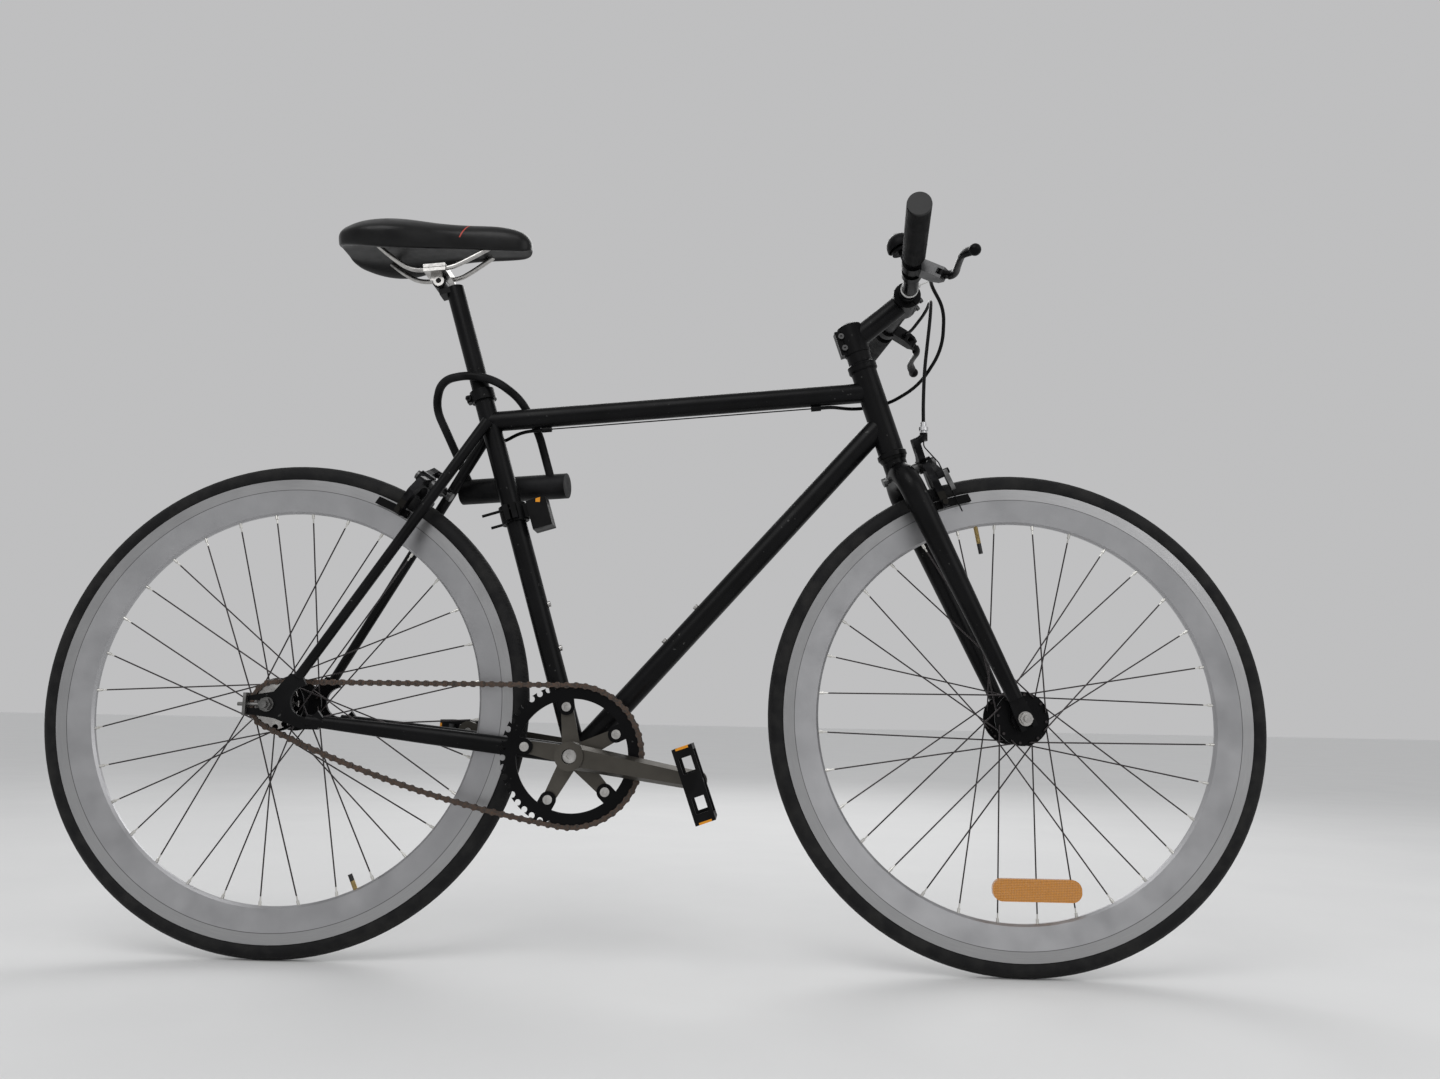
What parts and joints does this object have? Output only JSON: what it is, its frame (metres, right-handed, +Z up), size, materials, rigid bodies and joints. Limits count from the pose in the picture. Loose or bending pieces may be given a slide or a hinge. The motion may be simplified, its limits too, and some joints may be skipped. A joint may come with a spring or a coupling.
{
  "type": "fixed gear bike",
  "caption": "A black steel fixed gear bicycle with rim brakes, a flat bar and a carried U-lock.",
  "frame": {"origin": "on the ground, midway between the two wheel axles, in the middle plane", "axes": "+X to the front wheel, +Y to the rider's left, +Z up"},
  "size_m": [1.681, 0.5762, 1.0499],
  "materials": {
    "black_paint": "satin",
    "black_alloy": "satin",
    "grey_alloy": "satin",
    "silver_alloy": "satin",
    "steel": "satin",
    "worn_chain": "matte",
    "tyre": "matte",
    "tube_rubber": "matte",
    "grip_rubber": "matte",
    "cable_cover": "gloss",
    "black_plastic": "matte",
    "lock_cover": "satin",
    "amber": "gloss",
    "saddle_cover": "satin"
  },
  "bodies": {
    "frame": {"head_tube": "black_paint", "top_tube": "black_paint", "down_tube": "black_paint", "seat_tube": "black_paint", "bottom_bracket_shell": "black_paint", "rear_triangle": "black_paint", "headset_cups": "black_paint", "bottom_bracket_unit": "steel", "seat_collar": "black_paint", "bottle_bolts": "steel", "rear_axle": "steel", "chain": "worn_chain", "rear_brake_bolt": "steel", "rear_brake_cable": "cable_cover", "lock_shackle": "lock_cover", "lock_crossbar": "lock_cover", "lock_bracket": "black_plastic"},
    "steering": {"fork_crown": "black_paint", "fork_blades": "black_paint", "headset_spacers": "black_paint", "stem": "black_paint", "stem_bolts": "steel", "handlebar": "black_paint", "grips": "grip_rubber", "lever_brackets": "black_alloy", "bell": "black_alloy", "front_brake_bolt": "steel", "front_brake_cable": "cable_cover", "front_axle": "steel"},
    "front_wheel": {"front_tyre": "tyre", "front_inner_tube": "tube_rubber", "front_rim": "silver_alloy", "front_spokes": "steel", "front_hub": "black_alloy", "front_reflector": "amber"},
    "rear_wheel": {"rear_tyre": "tyre", "rear_inner_tube": "tube_rubber", "rear_rim": "silver_alloy", "rear_spokes": "steel", "rear_hub": "black_alloy", "rear_sprocket": "steel"},
    "crank": {"right_crank": "grey_alloy", "left_crank": "grey_alloy", "chainring": "black_alloy", "chainring_bolts": "steel", "crank_axles": "steel"},
    "pedal_right": {"right_pedal": "black_plastic"},
    "pedal_left": {"left_pedal": "black_plastic"},
    "lever_right": {"right_lever": "black_alloy"},
    "lever_left": {"left_lever": "black_alloy"},
    "striker": {"bell_striker": "black_alloy"},
    "front_arm_right": {"front_brake_arm_right": "black_alloy"},
    "front_arm_left": {"front_brake_arm_left": "black_alloy"},
    "rear_arm_right": {"rear_brake_arm_right": "black_alloy"},
    "rear_arm_left": {"rear_brake_arm_left": "black_alloy"},
    "front_release": {"front_brake_release": "silver_alloy"},
    "rear_release": {"rear_brake_release": "silver_alloy"},
    "post": {"seatpost": "black_paint"},
    "seat": {"saddle_clamp": "steel", "saddle": "saddle_cover"}
  },
  "joints": [
    {"name": "steer", "type": "hinge", "parent": "frame", "child": "steering", "pos_m": [0.46006, 0, 0.32428], "axis": [-0.3077, 0, 0.9515], "range_deg": [-70, 70], "deforming": ["rear_brake_cable"]},
    {"name": "front_wheel_spin", "type": "hinge", "parent": "steering", "child": "front_wheel", "pos_m": [0.5025, 0, 0.338], "axis": [0, 1, 0], "continuous": true},
    {"name": "rear_wheel_spin", "type": "hinge", "parent": "frame", "child": "rear_wheel", "pos_m": [-0.5025, 0, 0.338], "axis": [0, 1, 0], "continuous": true, "deforming": ["chain"]},
    {"name": "crank_spin", "type": "hinge", "parent": "frame", "child": "crank", "pos_m": [-0.09645, 0, 0.278], "axis": [0, 1, 0], "continuous": true},
    {"name": "right_pedal_spin", "type": "hinge", "parent": "crank", "child": "pedal_right", "pos_m": [0.07127, 0, 0.25023], "axis": [0, 1, 0], "continuous": true},
    {"name": "left_pedal_spin", "type": "hinge", "parent": "crank", "child": "pedal_left", "pos_m": [-0.26417, 0, 0.30577], "axis": [0, 1, 0], "continuous": true},
    {"name": "right_brake_lever", "type": "hinge", "parent": "steering", "child": "lever_right", "pos_m": [0.38705, -0.13158, 0.92141], "axis": [-0.436, 0.0103, -0.8999], "range_deg": [0, 22], "stiffness_Nm_per_rad": 0.5, "springref_deg": -11.46},
    {"name": "left_brake_lever", "type": "hinge", "parent": "steering", "child": "lever_left", "pos_m": [0.38568, 0.13154, 0.91882], "axis": [0.4973, 0.018, 0.8674], "range_deg": [0, 22], "stiffness_Nm_per_rad": 0.5, "springref_deg": -11.46, "deforming": ["front_brake_cable"]},
    {"name": "front_arm_right_close", "type": "hinge", "parent": "steering", "child": "front_arm_right", "pos_m": [0.34683, 0, 0.67443], "axis": [0.9076, 0, 0.4199], "range_deg": [0, 1.4]},
    {"name": "front_arm_left_close", "type": "hinge", "parent": "steering", "child": "front_arm_left", "pos_m": [0.34683, 0, 0.67443], "axis": [0.9076, 0, 0.4199], "range_deg": [-1.4, 0]},
    {"name": "rear_arm_right_close", "type": "hinge", "parent": "frame", "child": "rear_arm_right", "pos_m": [-0.30189, 0, 0.64173], "axis": [0.8344, 0, -0.5511], "range_deg": [0, 1.4]},
    {"name": "rear_arm_left_close", "type": "hinge", "parent": "frame", "child": "rear_arm_left", "pos_m": [-0.30189, 0, 0.64173], "axis": [0.8344, 0, -0.5511], "range_deg": [-1.4, 0]},
    {"name": "front_release_turn", "type": "hinge", "parent": "front_arm_left", "child": "front_release", "pos_m": [0.40556, -0.032, 0.67515], "axis": [0.9076, 0, 0.4199], "range_deg": [-60, 0]},
    {"name": "rear_release_turn", "type": "hinge", "parent": "rear_arm_right", "child": "rear_release", "pos_m": [-0.33072, 0.032, 0.63201], "axis": [0.8344, 0, -0.5511], "range_deg": [0, 60]},
    {"name": "bell_strike", "type": "hinge", "parent": "steering", "child": "striker", "pos_m": [0.35696, -0.09713, 0.97045], "axis": [-0.3746, 0, 0.9272], "range_deg": [0, 25], "stiffness_Nm_per_rad": 0.05, "springref_deg": -11.46},
    {"name": "seatpost_height", "type": "slide", "parent": "frame", "child": "post", "axis": [-0.2952, 0, 0.9554], "range_m": [-0.09, 0.03]},
    {"name": "saddle_tilt", "type": "hinge", "parent": "post", "child": "seat", "pos_m": [-0.32368, 0, 0.95372], "axis": [0, 1, 0], "range_deg": [-8, 8]}
  ],
  "couplings": [
    {"joint": "crank_spin", "follows": "rear_wheel_spin", "ratio": 0.32609},
    {"joint": "front_arm_right_close", "follows": "left_brake_lever", "ratio": 0.063636},
    {"joint": "front_arm_left_close", "follows": "left_brake_lever", "ratio": -0.063636},
    {"joint": "rear_arm_right_close", "follows": "right_brake_lever", "ratio": 0.063636},
    {"joint": "rear_arm_left_close", "follows": "right_brake_lever", "ratio": -0.063636}
  ]
}
